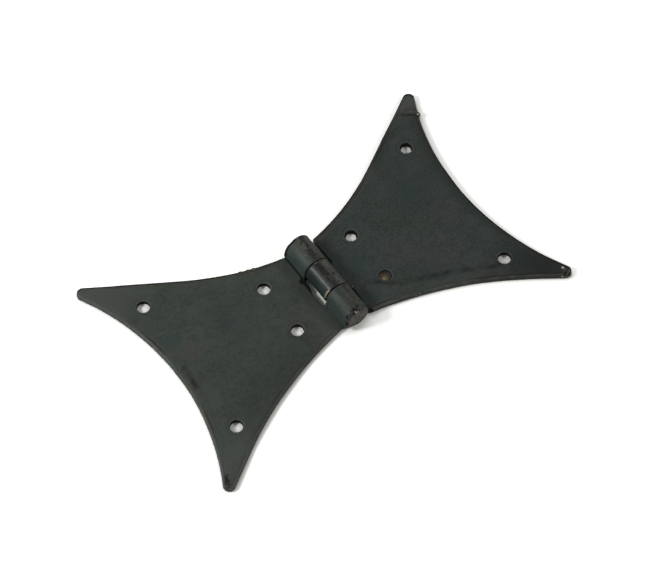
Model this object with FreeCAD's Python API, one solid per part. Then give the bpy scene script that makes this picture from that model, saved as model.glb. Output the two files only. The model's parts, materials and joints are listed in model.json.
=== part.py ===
"""Butterfly hinge: two winged leaves of dark forged steel, rolled round a riveted pin.

Millimetres, +Z up. The origin lies on the plane of the leaves' undersides, below the pin and
midway between the wing tips. +X points to the right leaf and +Y runs along the pin.
"""
import FreeCAD, Part
import math
import os

from FreeCAD import Vector

# Leaves
overall_length = 140.0         # from wing tip to wing tip across the pin
overall_width = 90.7           # from wing tip to wing tip along the pin
plate_thickness = 2.0
end_hollow = 10.8              # depth of each leaf's concave end below its tips
tip_radius = 2.0
waist_width = 33.3             # leaf width where it meets the barrel
waist_offset = -1.15           # the waist sits this far off the wings' centre line
far_side_radius = 94.0         # hollow of the side towards +Y
far_side_straight = 34.0       # straight run from that hollow to the tip
near_side_radius = 140.0       # hollow of the side towards -Y
near_side_straight = 10.0
edge_round = 0.4               # rim of the show face
edge_break = 0.25              # rim of the underside

# Screw holes
screw_hole_diameter = 4.5
outer_hole_end_inset = 15.5    # from the tips' reach, along the leaf
outer_hole_side_inset = 17.95  # from the tips' reach, along the pin
inner_hole_reach = 18.0        # from the pin
inner_hole_spacing = 19.46
hole_offset = -0.35            # holes sit this far off the wings' centre line

# Barrel
barrel_length = 35.4
barrel_offset = -1.65          # the barrel sits this far off the wings' centre line
knuckle_count = 3
knuckle_gap = 0.4
roll_flare = 0.4               # the roll's free edge lands this far outside the barrel
seam_gap = 0.12                # between the roll's free edge and its own plate
slot_clearance = 1.3           # left leaf's slot beyond the barrel
shoulder_clearance = 1.9       # right leaf's shoulders beyond the barrel
barrel_end_break = 0.5

# Pin
pin_diameter = 5.2
pin_clearance = 0.08           # all round, between the pin and the rolled bore
rivet_head_diameter = 6.6
rivet_head_depth = 0.6
rivet_crown = 0.3

# Sizes that follow from these
pin_radius = pin_diameter / 2
bore_radius = pin_radius + pin_clearance
barrel_radius = bore_radius + plate_thickness
seam_reach = barrel_radius + roll_flare
axis_height = barrel_radius
tip_reach = overall_length / 2
tip_side = overall_width / 2
waist_far = waist_offset + waist_width / 2
waist_near = waist_offset - waist_width / 2
barrel_far = barrel_offset + barrel_length / 2
barrel_near = barrel_offset - barrel_length / 2
knuckle_pitch = barrel_length / knuckle_count
rim_limit = 0.45               # share of the plate that either rim may take
rim_round = min(edge_round, rim_limit * plate_thickness)
rim_break = min(edge_break, rim_limit * plate_thickness)


def arc(start, middle, end):
    """One arc through three points."""
    return Part.Arc(start, middle, end).toShape()


def arc_about(centre, start, end):
    """The short arc about a centre, between two points on it."""
    halfway = (start + end) * 0.5 - centre
    radius = (start - centre).Length
    return arc(start, centre + halfway * (radius / halfway.Length), end)


def towards(start, end, distance):
    """The point at a distance from start on the way to end."""
    step = end - start
    return start + step * (distance / step.Length)


def outside_centre(start, start_distance, tip, tip_distance, side):
    """The point at the given distances from two points, on the outer side of the line between them."""
    span = tip - start
    along = (span.Length ** 2 + start_distance ** 2 - tip_distance ** 2) / (2 * span.Length)
    across = math.sqrt(start_distance ** 2 - along ** 2)
    direction = span * (1 / span.Length)
    normal = Vector(-direction.y, direction.x, 0) * side
    return start + direction * along + normal * across


def leaf_side(side, waist_y, radius, straight, tip):
    """Edges of a hollow side from the barrel to the tip, and the point where it meets the tip."""
    waist = Vector(seam_reach, waist_y, 0)
    centre = outside_centre(waist, radius, tip, math.hypot(radius + tip_radius, straight), side)
    to_centre = centre - tip
    turn = -side * math.atan2(straight, radius + tip_radius)
    outward = Vector(to_centre.x * math.cos(turn) - to_centre.y * math.sin(turn),
                     to_centre.x * math.sin(turn) + to_centre.y * math.cos(turn), 0)
    outward.normalize()
    hollow_end = centre - outward * radius
    tip_start = tip + outward * tip_radius
    return [arc_about(centre, waist, hollow_end), Part.makeLine(hollow_end, tip_start)], tip_start


def leaf_outline():
    """Outline of the right-hand leaf, from the barrel's seam to the wing tips."""
    far_tip = Vector(tip_reach - tip_radius, tip_side - tip_radius, 0)
    near_tip = Vector(far_tip.x, -far_tip.y, 0)
    end_reach = tip_reach - end_hollow
    end_step = far_tip.x - end_reach
    end_radius = (end_step ** 2 + far_tip.y ** 2 - tip_radius ** 2) / (2 * (end_step + tip_radius))
    end_centre = Vector(end_reach + end_radius, 0, 0)
    end_far = towards(far_tip, end_centre, tip_radius)
    end_near = towards(near_tip, end_centre, tip_radius)
    far_nose = far_tip + far_tip * (tip_radius / far_tip.Length)
    near_nose = near_tip + near_tip * (tip_radius / near_tip.Length)

    far_edges, far_start = leaf_side(1, waist_far, far_side_radius, far_side_straight, far_tip)
    near_edges, near_start = leaf_side(-1, waist_near, near_side_radius, near_side_straight, near_tip)
    end_edges = [
        arc(far_start, far_nose, end_far),
        arc(end_far, Vector(end_reach, 0, 0), end_near),
        arc(end_near, near_nose, near_start),
    ]
    seam_edge = Part.makeLine(Vector(seam_reach, waist_near, 0), Vector(seam_reach, waist_far, 0))
    return Part.Wire(far_edges + end_edges + near_edges[::-1] + [seam_edge])


def rim_edges(plate, height):
    """A plate's outline edges at one height, without the one at the barrel's seam."""
    level = [edge for edge in plate.Edges
             if edge.BoundBox.ZLength < rim_break and abs(edge.BoundBox.ZMax - height) < rim_break]
    return [edge for edge in level if edge.BoundBox.XMax > seam_reach + rim_round]


def leaf_plate():
    """The flat of a leaf, its rim rounded above and broken below."""
    plate = Part.Face(leaf_outline()).extrude(Vector(0, 0, plate_thickness))
    plate = plate.makeChamfer(rim_break, rim_edges(plate, 0))
    return plate.makeFillet(rim_round, rim_edges(plate, plate_thickness))


def roll_section():
    """Section of a rolled knuckle: under the pin, up, over it and down onto its own plate."""
    centre = Vector(0, 0, axis_height)
    seam = Vector(seam_reach, 0, plate_thickness + seam_gap)
    seam_vector = seam - centre
    lean = math.atan2(seam_vector.z, seam_vector.x) + math.acos(barrel_radius / seam_vector.Length)
    leave = Vector(math.cos(lean), 0, math.sin(lean))
    down = Vector(math.sin(lean), 0, -math.cos(lean))
    crest = Vector(-math.sqrt(0.5), 0, math.sqrt(0.5))

    outer_leave = centre + leave * barrel_radius
    inner_leave = centre + leave * bore_radius
    inner_seam = inner_leave + down * ((inner_leave.z - seam.z) / -down.z)
    strip_start = Vector(seam_reach, 0, 0)
    strip_top = Vector(seam_reach, 0, plate_thickness)
    under = Vector(0, 0, 0)
    bore_floor = Vector(0, 0, plate_thickness)
    return Part.Wire([
        Part.makeLine(strip_start, under),
        arc(under, centre + crest * barrel_radius, outer_leave),
        Part.makeLine(outer_leave, seam),
        Part.makeLine(seam, inner_seam),
        Part.makeLine(inner_seam, inner_leave),
        arc(inner_leave, centre + crest * bore_radius, bore_floor),
        Part.makeLine(bore_floor, strip_top),
        Part.makeLine(strip_top, strip_start),
    ])


def outer_arcs(solid, end_y):
    """The outside arc of a knuckle's end face."""
    between = (bore_radius + barrel_radius) / 2
    arcs = [edge for edge in solid.Edges if isinstance(edge.Curve, Part.Circle)]
    outer = [edge for edge in arcs if edge.Curve.Radius > between]
    return [edge for edge in outer if abs(edge.Curve.Center.y - end_y) < knuckle_gap]


def strip_trim(waist_y, end_y):
    """Wedge that narrows the flat strip under a knuckle from the barrel's end to the leaf's waist."""
    middle = Vector(0, end_y, 0)
    corner = Vector(seam_reach, end_y, 0)
    waist = Vector(seam_reach, waist_y, 0)
    wedge = Part.makePolygon([middle, corner, waist, middle])
    return Part.Face(wedge).extrude(Vector(0, 0, plate_thickness + seam_gap / 2))


def rivet_seat(end_y, inward):
    """Countersink at one end of the barrel, where the pin's head is set."""
    head = rivet_head_diameter / 2 + pin_clearance
    centre = Vector(0, end_y, axis_height)
    return Part.makeCone(head, bore_radius, rivet_head_depth, centre, Vector(0, inward, 0))


def knuckle(index):
    """One rolled knuckle, counted from the near end of the barrel."""
    first = index == 0
    last = index == knuckle_count - 1
    low = barrel_near + index * knuckle_pitch
    high = low + knuckle_pitch
    low_face = low if first else low + knuckle_gap / 2
    high_face = high if last else high - knuckle_gap / 2
    solid = Part.Face(roll_section()).extrude(Vector(0, high_face - low_face, 0))
    solid.translate(Vector(0, low_face, 0))
    if first:
        solid = free_end(solid, barrel_near, waist_near, 1)
    if last:
        solid = free_end(solid, barrel_far, waist_far, -1)
    return solid


def free_end(solid, end_y, waist_y, inward):
    """A knuckle with the barrel's free end broken, countersunk and trimmed to the leaf's waist."""
    broken = solid.makeChamfer(barrel_end_break, outer_arcs(solid, end_y))
    return broken.cut([rivet_seat(end_y, inward), strip_trim(waist_y, end_y)])


def screw_holes():
    """Cutters of the four screw holes of a right-hand leaf."""
    radius = screw_hole_diameter / 2
    outer_x = tip_reach - outer_hole_end_inset
    outer_y = tip_side - outer_hole_side_inset
    inner_y = inner_hole_spacing / 2
    pairs = [(outer_x, outer_y), (inner_hole_reach, inner_y)]
    places = [Vector(x, side * y + hole_offset, 0) for x, y in pairs for side in (1, -1)]
    return [Part.makeCylinder(radius, plate_thickness, place) for place in places]


def relief(index, reach):
    """Room in a right-hand plate for the other leaf's knuckle, out to a reach from the pin."""
    low = barrel_near + index * knuckle_pitch
    high = low + knuckle_pitch
    if index == 0:
        low = min(low, waist_near) - plate_thickness
    if index == knuckle_count - 1:
        high = max(high, waist_far) + plate_thickness
    return Part.makeBox(reach, high - low, plate_thickness, Vector(0, low, 0))


def right_hand_leaf(own, reach):
    """A leaf on the +X side, with its own knuckles and room for the other leaf's."""
    others = [index for index in range(knuckle_count) if index not in own]
    plate = leaf_plate().cut([relief(index, reach) for index in others])
    leaf = plate.multiFuse([knuckle(index) for index in own])
    return leaf.cut(screw_holes()).removeSplitter().Solids[0]


def left_leaf():
    """The leaf with the outer knuckles."""
    outer = [index for index in range(knuckle_count) if index % 2 == 0]
    leaf = right_hand_leaf(outer, barrel_radius + slot_clearance)
    return leaf.mirror(Vector(0, 0, 0), Vector(1, 0, 0))


def right_leaf():
    """The leaf with the middle knuckle."""
    middle = [index for index in range(knuckle_count) if index % 2 == 1]
    return right_hand_leaf(middle, barrel_radius + shoulder_clearance)


def crown_points(end_y, outward):
    """A riveted end's low dome, from its middle to its rim, in a plane through the pin's axis."""
    rim = rivet_head_diameter / 2
    half_rim = rim / 2
    sphere = (rim ** 2 + rivet_crown ** 2) / (2 * rivet_crown)
    half_rise = rivet_crown - sphere + math.sqrt(sphere ** 2 - half_rim ** 2)
    middle = Vector(0, end_y + outward * rivet_crown, axis_height)
    halfway = Vector(half_rim, end_y + outward * half_rise, axis_height)
    return middle, halfway, Vector(rim, end_y, axis_height)


def hinge_pin():
    """The pin, riveted at both ends into the outer knuckles."""
    near_middle, near_half, near_rim = crown_points(barrel_near, -1)
    far_middle, far_half, far_rim = crown_points(barrel_far, 1)
    near_shank = Vector(pin_radius, barrel_near + rivet_head_depth, axis_height)
    far_shank = Vector(pin_radius, barrel_far - rivet_head_depth, axis_height)
    profile = Part.Wire([
        arc(near_middle, near_half, near_rim),
        Part.makeLine(near_rim, near_shank),
        Part.makeLine(near_shank, far_shank),
        Part.makeLine(far_shank, far_rim),
        arc(far_rim, far_half, far_middle),
        Part.makeLine(far_middle, near_middle),
    ])
    full_turn = 360
    return Part.Face(profile).revolve(Vector(0, 0, axis_height), Vector(0, 1, 0), full_turn)


os.makedirs("parts", exist_ok=True)
for node, build in (("left_leaf", left_leaf), ("right_leaf", right_leaf), ("hinge_pin", hinge_pin)):
    solid = build()
    solid.exportStep("parts/" + node + ".step")
    print(node, solid.ShapeType, len(solid.Solids), round(solid.Volume, 2), solid.isValid())
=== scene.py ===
"""Butterfly hinge of dark forged steel, lying open on a white floor.

Metres, in the part's frame: +X to the right leaf, +Y along the pin, +Z up. Forms and marks are given in
millimetres in the same frame and scaled when the meshes are written.
"""
import bpy
import bmesh
import json
import math
import numpy as np
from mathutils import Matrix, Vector
from mathutils.kdtree import KDTree


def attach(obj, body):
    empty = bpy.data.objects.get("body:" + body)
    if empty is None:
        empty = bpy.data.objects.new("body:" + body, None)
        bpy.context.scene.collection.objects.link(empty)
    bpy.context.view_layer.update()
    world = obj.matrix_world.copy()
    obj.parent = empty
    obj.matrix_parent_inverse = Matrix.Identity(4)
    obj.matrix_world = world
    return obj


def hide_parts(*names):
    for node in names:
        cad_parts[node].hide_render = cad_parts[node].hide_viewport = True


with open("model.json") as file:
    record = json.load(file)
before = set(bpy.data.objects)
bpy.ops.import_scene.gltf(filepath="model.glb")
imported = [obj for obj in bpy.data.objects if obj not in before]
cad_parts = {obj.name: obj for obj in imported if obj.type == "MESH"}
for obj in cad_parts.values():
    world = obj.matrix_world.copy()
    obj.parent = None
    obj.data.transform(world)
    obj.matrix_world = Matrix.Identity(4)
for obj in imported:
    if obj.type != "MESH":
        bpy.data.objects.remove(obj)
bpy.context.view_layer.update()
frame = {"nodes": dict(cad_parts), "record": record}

MM = 0.001


def screw_places(mount):
    """Centres in plan of a mount's two screw holes, in millimetres."""
    x, y, _ = mount["pos_m"]
    half = mount["dims"]["spacing_y_mm"] / 2
    return [(x / MM, y / MM + half), (x / MM, y / MM - half)]


# Sizes of the part that the looks are laid on, from the frame
mounts = {mount["name"]: mount for mount in frame["record"]["mounts"]}
inner_screws = mounts["right_inner_screws"]
plate_top = inner_screws["pos_m"][2] / MM
hole_radius = inner_screws["dims"]["hole_r_mm"]
hole_places = screw_places(mounts["right_outer_screws"]) + screw_places(inner_screws)
fold = frame["record"]["behaviour"]["joints"][0]
_, barrel_middle, axis_height = (value / MM for value in fold["pos_m"])
barrel_radius = axis_height
bore_radius = barrel_radius - plate_top
barrel_length = 35.4
barrel_near = barrel_middle - barrel_length / 2
barrel_far = barrel_middle + barrel_length / 2
knuckle_edges = (barrel_middle - barrel_length / 6, barrel_middle + barrel_length / 6)
roll_flare = 0.4
shoulder_clearance = 1.9
seam_reach = barrel_radius + roll_flare
shoulder_reach = barrel_radius + shoulder_clearance

# How far from an edge or a hole, and how far down an edge's wall, the materials can read
band_span = 5.0
wall_span = 1.2

# The side of the part that lies away from the viewer, in plan; edges that face it get painted shade
far_direction = (0.583, 0.812)

# Colours of the steel's marks, among them painted light and shade, in linear light
grain_grey = (0.050, 0.058, 0.052)
drawn_light = (0.062, 0.068, 0.062)
drawn_dark = (0.006, 0.009, 0.008)
speck_black = (0.004, 0.006, 0.005)
edge_olive = (0.040, 0.038, 0.030)
line_and_shade_black = (0.004, 0.005, 0.004)
rim_wear_and_highlight = (0.078, 0.080, 0.072)
lip_highlight = (0.070, 0.076, 0.070)
ring_dark = (0.006, 0.009, 0.007)
dim_black = (0.002, 0.004, 0.003)
pale_grey = (0.058, 0.065, 0.060)
blue_tint_and_shade = (0.015, 0.029, 0.028)
stain_brown = (0.034, 0.030, 0.022)
wear_and_highlight_tan = (0.085, 0.081, 0.068)
scuff_black = (0.0055, 0.0055, 0.0045)
pit_black = (0.007, 0.007, 0.006)
chafed_tan = (0.115, 0.110, 0.094)
bare_steel = (0.20, 0.17, 0.12)
bright_steel_and_glint = (0.36, 0.35, 0.31)
grime_and_shade_black = (0.0015, 0.0015, 0.0012)

# Camera
camera_azimuth = -35.696
camera_elevation = 59.233
camera_distance = 0.73418
camera_target = Vector((0.000259, -0.004572, 0.0))
camera_lens = 118.79
sensor_width = 36.0


def smooth_step(low, high, value):
    """0 below low, 1 above high and a smooth rise between them."""
    share = np.clip((value - low) / (high - low), 0.0, 1.0)
    return share * share * (3.0 - 2.0 * share)


def bell(value, centre, width):
    """1 where a value is at a centre, falling away smoothly on both sides."""
    return np.exp(-((value - centre) / width) ** 2)


def lattice_value(cells, seed):
    """A repeatable number between -1 and 1 for each cell of a lattice."""
    steps = cells.astype(np.int64)
    mixed = steps[:, 0] * 374761393 + steps[:, 1] * 668265263 + steps[:, 2] * 1274126177 + seed * 362437
    mixed = (mixed ^ (mixed >> 13)) * 1103515245 % 4294967296
    mixed = (mixed ^ (mixed >> 16)) % 65536
    return mixed / 32767.5 - 1.0


def value_noise(points, size, seed):
    """Smooth noise between -1 and 1 with features of one size, in the points' unit."""
    scaled = points / size
    base = np.floor(scaled)
    share = scaled - base
    share = share * share * (3.0 - 2.0 * share)
    total = np.zeros(len(points))
    for corner in np.ndindex(2, 2, 2):
        step = np.array(corner)
        weight = np.prod(np.where(step == 1, share, 1.0 - share), axis=1)
        total += weight * lattice_value(base + step, seed)
    return total


def layered_noise(points, size, seed, layers):
    """Noise with finer and fainter layers on it."""
    total = np.zeros(len(points))
    for layer in range(layers):
        total += value_noise(points, size / 2 ** layer, seed + layer) / 2 ** layer
    return total


def near_point(points, centre, reach):
    """1 at a point and 0 beyond its reach."""
    distance = np.linalg.norm(points - np.array(centre), axis=1)
    return 1.0 - smooth_step(0.0, reach, distance)


def near_line(points, start, end, reach):
    """1 on a line between two points and 0 beyond its reach."""
    first = np.array(start)
    span = np.array(end) - first
    along = np.clip((points - first) @ span / (span @ span), 0.0, 1.0)
    distance = np.linalg.norm(points - first - along[:, None] * span, axis=1)
    return 1.0 - smooth_step(0.0, reach, distance)


def fine_mesh(node, name, voxel):
    """A new piece with a CAD node's form in an even mesh, whose faces are about one voxel, in mm, wide."""
    weld = 0.0005
    source = bmesh.new()
    source.from_mesh(frame["nodes"][node].data)
    bmesh.ops.scale(source, vec=(1 / MM, 1 / MM, 1 / MM), verts=source.verts)
    bmesh.ops.remove_doubles(source, verts=source.verts, dist=weld)
    mesh = bpy.data.meshes.new(name)
    source.to_mesh(mesh)
    source.free()
    piece = bpy.data.objects.new(name, mesh)
    bpy.context.scene.collection.objects.link(piece)
    remesh = piece.modifiers.new("Even", "REMESH")
    remesh.mode = "VOXEL"
    remesh.voxel_size = voxel
    evaluated = piece.evaluated_get(bpy.context.evaluated_depsgraph_get())
    fine = bpy.data.meshes.new_from_object(evaluated)
    piece.modifiers.clear()
    piece.data = fine
    fine.name = name
    return piece


def vertex_data(piece):
    """A piece's vertices and their normals."""
    count = len(piece.data.vertices)
    points = np.zeros(count * 3)
    piece.data.vertices.foreach_get("co", points)
    normals = np.zeros(count * 3)
    piece.data.vertices.foreach_get("normal", normals)
    return points.reshape(-1, 3), normals.reshape(-1, 3)


def write_vertices(piece, points):
    """Puts millimetre points into a piece, in metres, and shades it smooth."""
    piece.data.vertices.foreach_set("co", (points * MM).ravel())
    piece.data.shade_smooth()
    piece.data.update()


def write_mask(piece, name, values):
    """Keeps a value for each vertex, for the materials to read."""
    mask = piece.data.attributes.new(name, "FLOAT", "POINT")
    mask.data.foreach_set("value", np.clip(values, 0.0, 1.0).astype(np.float32))


class Skin:
    """A leaf's vertices while they are forged and painted, all in millimetres."""

    mask_names = ("edge", "hole", "bare", "bright", "brown", "grime_and_shade", "dim", "pale", "blue", "warm",
                  "smooth", "scuff", "worn", "rolled")

    def __init__(self, piece):
        self.piece = piece
        self.points, self.normals = vertex_data(piece)
        self.start = self.points.copy()
        self.masks = {name: np.zeros(len(self.points)) for name in self.mask_names}
        across = self.start[:, 0]
        height = self.start[:, 2] - axis_height
        self.along = self.start[:, 1]
        self.radius = np.hypot(across, height)
        self.turn = np.degrees(np.arctan2(-across, height))
        self.level = np.hypot(self.normals[:, 0], self.normals[:, 1])
        self.top_face = self.normals[:, 2] > 0.2
        self.upward = smooth_step(0.3, 0.8, self.normals[:, 2])
        self.plan = np.column_stack([across, self.along, np.zeros(len(across))])
        self.off_barrel = smooth_step(seam_reach + 0.6, seam_reach + 2.2, np.abs(across))
        self.from_holes = np.full(len(across), 100.0)
        for x, y in hole_places:
            self.from_holes = np.minimum(self.from_holes, np.hypot(np.abs(across) - x, self.along - y))
        self.from_edge, self.edge_facing = self.edge_distance()
        outward = (self.normals[:, 0] * across + self.normals[:, 2] * height) / np.maximum(self.radius, 0.01)
        on_cylinder = np.abs(self.radius - barrel_radius) < 0.14
        self.on_barrel = (outward > 0.9) & on_cylinder & (self.start[:, 2] > 0.9)
        self.barrel_side = (np.abs(across) < seam_reach + 0.3) & (self.radius > bore_radius + 0.5)

    def edge_distance(self):
        """Each vertex's distance in plan from the leaf's outer edge, and how far that edge faces away."""
        clear_of_barrel = np.abs(self.start[:, 0]) > seam_reach + 0.1
        shoulder = (np.abs(self.start[:, 0]) < seam_reach + 2.2) & (np.abs(self.along + 1.15) < 15.2)
        low = (self.start[:, 2] > 0.4) & (self.start[:, 2] < plate_top - 0.4)
        wall = (self.level > 0.8) & (self.from_holes > hole_radius + 0.8)
        edge = np.flatnonzero(clear_of_barrel & ~shoulder & low & wall)
        tree = KDTree(len(edge))
        for index in edge:
            tree.insert(Vector(self.plan[index]), int(index))
        tree.balance()
        found = [tree.find(Vector(place)) for place in self.plan]
        nearest = np.array([index for _, index, _ in found])
        distance = np.array([length for _, _, length in found])
        return distance, self.normals[nearest, :2] @ np.array(far_direction)

    def paint(self, name, values):
        """Adds to a mask, keeping the stronger of old and new."""
        self.masks[name] = np.maximum(self.masks[name], values)

    def push_out(self, distance):
        """Moves vertices away from the pin's axis."""
        reach = np.maximum(self.radius, 0.01)
        self.points[:, 0] += distance * self.start[:, 0] / reach
        self.points[:, 2] += distance * (self.start[:, 2] - axis_height) / reach

    def near(self, place, reach):
        """1 at a place in plan and 0 beyond its reach."""
        return near_point(self.plan, (*place, 0.0), reach)

    def beside(self, start, end, reach):
        """1 on a line in plan and 0 beyond its reach."""
        return near_line(self.plan, (*start, 0.0), (*end, 0.0), reach)

    def spot(self, along, turn, along_reach, turn_reach):
        """1 at a place on the barrel and 0 beyond its reach along the pin and round it."""
        distance = np.hypot((self.along - along) / along_reach, (self.turn - turn) / turn_reach)
        return (1.0 - smooth_step(0.35, 1.0, distance)) * self.barrel_side

    def band(self, start, end, along_reach, turn_reach):
        """1 on a line between two places on the barrel and 0 beyond its reach along the pin and round it."""
        scale = np.array((1.0 / along_reach, 1.0 / turn_reach))
        flat = np.column_stack([self.along, self.turn]) * scale
        return near_line(flat, start * scale, end * scale, 1.0) * self.barrel_side

    def noise(self, size, seed, layers=1):
        """Noise at the vertices, with features of a size in millimetres."""
        return layered_noise(self.start, size, seed, layers)

    def flecks(self, size, seed, floor=0.1):
        """Small patches, 1 inside and 0 outside, where noise stands above a floor."""
        return smooth_step(floor, floor + 0.24, self.noise(size, seed, 2))

    def streaks(self, size, seed):
        """Noise drawn out along the pin."""
        return layered_noise(self.start * np.array((1.0, 0.3, 1.0)), size, seed, 2)

    def write(self):
        """Puts the forged form, with nothing below the floor, and the masks into the piece."""
        self.points[:, 2] = np.maximum(self.points[:, 2], 0.0)
        write_vertices(self.piece, self.points)
        for name, values in self.masks.items():
            write_mask(self.piece, name, values)


def true_barrel(skin):
    """The barrel's outside brought onto its cylinder, with slight dents left by the hammer."""
    broad_dent = 0.05
    fine_dent = 0.02
    dressed = 0.04
    dents = broad_dent * skin.noise(3.2, 71) + fine_dent * skin.noise(1.1, 73)
    wanted = barrel_radius + dents - dressed
    scale = np.where(skin.on_barrel, wanted / np.maximum(skin.radius, 0.01), 1.0)
    skin.points[:, 0] = skin.start[:, 0] * scale
    skin.points[:, 2] = axis_height + (skin.start[:, 2] - axis_height) * scale


def soften_plate(skin, seed):
    """Edges hammered round, most on the viewer's side, lips drawn in at the holes, and uneven faces."""
    slope_width = 2.3
    slope_depth = 0.2
    round_width = 0.85
    round_depth = 0.5
    lip_depth = 0.08
    lip_end = hole_radius + 0.6
    ring_start = hole_radius + 0.7
    ring_top = hole_radius + 1.3
    ring_end = hole_radius + 2.4
    ring_height = 0.012
    swell_height = 0.10
    ripple_height = 0.03
    dressed = 0.06
    uneven = 1.0 + 0.35 * value_noise(skin.plan, 11.0, seed + 3)
    uneven *= 1.0 - 0.8 * smooth_step(0.0, 0.5, skin.edge_facing)
    edge_drop = slope_depth * uneven * (1.0 - smooth_step(0.0, slope_width, skin.from_edge))
    inside = np.clip(1.0 - skin.from_edge / round_width, 0.0, 1.0)
    edge_drop += round_depth * uneven * (1.0 - np.sqrt(1.0 - inside ** 2))
    lip_drop = lip_depth * (1.0 - smooth_step(hole_radius, lip_end, skin.from_holes))
    ring = smooth_step(ring_start, ring_top, skin.from_holes)
    ring = ring_height * ring * (1.0 - smooth_step(ring_top, ring_end, skin.from_holes))
    swell = swell_height * value_noise(skin.plan, 24.0, seed)
    swell += ripple_height * value_noise(skin.plan, 7.0, seed + 5)
    drop = edge_drop + lip_drop - ring - swell + dressed
    share = np.clip(skin.start[:, 2] / plate_top, 0.0, 1.0) * skin.off_barrel
    skin.points[:, 2] -= share * drop


def rag_edges(skin, seed):
    """Outlines that wander a little, and hole walls brought onto their cylinders, two with a burr below."""
    outline_growth = 0.10
    long_wander = 0.09
    short_wander = 0.025
    wall_growth = 0.08
    burr_growth = 0.45
    wall = smooth_step(0.3, 0.9, skin.level) * skin.off_barrel
    outer = wall * (skin.from_holes > hole_radius + 0.8)
    wander = outline_growth + long_wander * value_noise(skin.plan, 10.0, seed + 11)
    wander += short_wander * value_noise(skin.plan, 2.4, seed + 17)
    skin.points[:, :2] += (outer * wander)[:, None] * skin.normals[:, :2]
    in_hole = wall * (skin.from_holes < hole_radius + 0.5)
    burred = (skin.start[:, 0] > 0.0) & (skin.along > 0.0)
    burr = wall_growth + burr_growth * burred * (1.0 - skin.start[:, 2] / plate_top)
    close = in_hole * np.clip(skin.from_holes - hole_radius + burr, -0.3, 0.6)
    skin.points[:, :2] += close[:, None] * skin.normals[:, :2]


def paint_plate(skin):
    """Distances from the edges and the holes, for the bands there, painted shade on the edges that face away
    from the viewer, and grime with painted shade in the holes.
    """
    down_wall = smooth_step(0.4, 0.9, skin.level) * (plate_top - skin.start[:, 2]) * 0.55
    skin.paint("edge", (skin.from_edge - down_wall + wall_span) / band_span + 1.0 - skin.off_barrel)
    # Painted shade: near-black on the edges that face away from the viewer
    away = smooth_step(0.15, 0.6, skin.edge_facing) * skin.off_barrel
    skin.paint("grime_and_shade", 0.95 * away * (1.0 - smooth_step(0.35, 0.85, skin.from_edge)))
    skin.paint("hole", (skin.from_holes - hole_radius) / band_span)
    # Grime and painted shade: near-black on the walls inside the holes
    in_hole = (skin.from_holes < hole_radius + 0.35) * (skin.start[:, 2] < plate_top - 0.2)
    skin.paint("grime_and_shade", 0.9 * in_hole)


def groove_seam(skin, side, low, high, grime_and_shade):
    """The line where a knuckle's roll comes down on its own plate, grooved and darkened with grime and
    painted shade.
    """
    depth = 0.22
    height = plate_top + 0.06
    line = ((side * seam_reach, low, height), (side * seam_reach, high, height))
    skin.points -= (depth * near_line(skin.start, *line, 0.75))[:, None] * skin.normals
    # Grime and painted shade darken the crease along the seam
    skin.paint("grime_and_shade", grime_and_shade * near_line(skin.start, *line, 0.62) ** 0.5)


def fray_far_end(skin):
    """The far end of the barrel: flattened on one side and flared below it, with a rim darkened by grime and
    painted shade.
    """
    frayed = 2.2
    rim_start = barrel_far - 1.45
    rim_full = barrel_far - 0.95
    at_end = smooth_step(barrel_far - frayed, barrel_far, skin.along) * skin.barrel_side
    flare = 0.55 * bell(skin.turn, 102.0, 24.0)
    flat = 0.5 * bell(skin.turn, 36.0, 28.0)
    skin.push_out(at_end * (flare - flat + 0.12 * skin.noise(2.0, 81)))
    skin.points[:, 1] += at_end * 0.16 * skin.noise(1.6, 83)
    # Grime and painted shade along the far end's rim, most on its left side
    rim = smooth_step(rim_start, rim_full, skin.along) * skin.barrel_side
    skin.paint("grime_and_shade", rim * (0.35 + 0.85 * smooth_step(-10.0, 35.0, skin.turn)))


def fray_near_end(skin):
    """The near end of the barrel: hammered over at its top into a ragged, brown face, with a painted glint
    on its top.
    """
    glint = (-0.35, barrel_near + 0.3, 2 * axis_height - 0.6)
    chafed_rim = ((2.2, barrel_near, 8.4), (3.6, barrel_near, 7.2))
    top_side = bell(skin.turn, 2.0, 42.0)
    reach = 0.5 + 0.95 * top_side + 0.55 * skin.noise(1.5, 91, 2)
    depth = np.clip((barrel_near + reach - skin.along) / np.maximum(reach, 0.2), 0.0, 1.0)
    outer = smooth_step(bore_radius + 0.7, barrel_radius, skin.radius) * skin.barrel_side
    fall = outer * depth * (0.35 + 0.75 * top_side + 0.35 * skin.noise(1.2, 93))
    skin.push_out(-fall)
    end = smooth_step(0.05, 0.4, depth) * skin.barrel_side
    skin.paint("brown", end * (0.65 + 0.4 * skin.noise(1.5, 95)))
    lip = bell(skin.along, barrel_near + reach, 0.42) * skin.barrel_side
    skin.paint("grime_and_shade", lip * (0.45 + 0.8 * skin.noise(0.9, 97)))
    skin.paint("grime_and_shade", skin.spot(-18.6, 6.0, 1.9, 34.0) * skin.flecks(0.8, 98))
    # Painted highlight: a glint of bright steel colour on the end's top
    skin.paint("bright", near_point(skin.start, glint, 1.4) * 1.3)
    skin.paint("bare", near_line(skin.start, *chafed_rim, 1.3) * 0.35)


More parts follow.
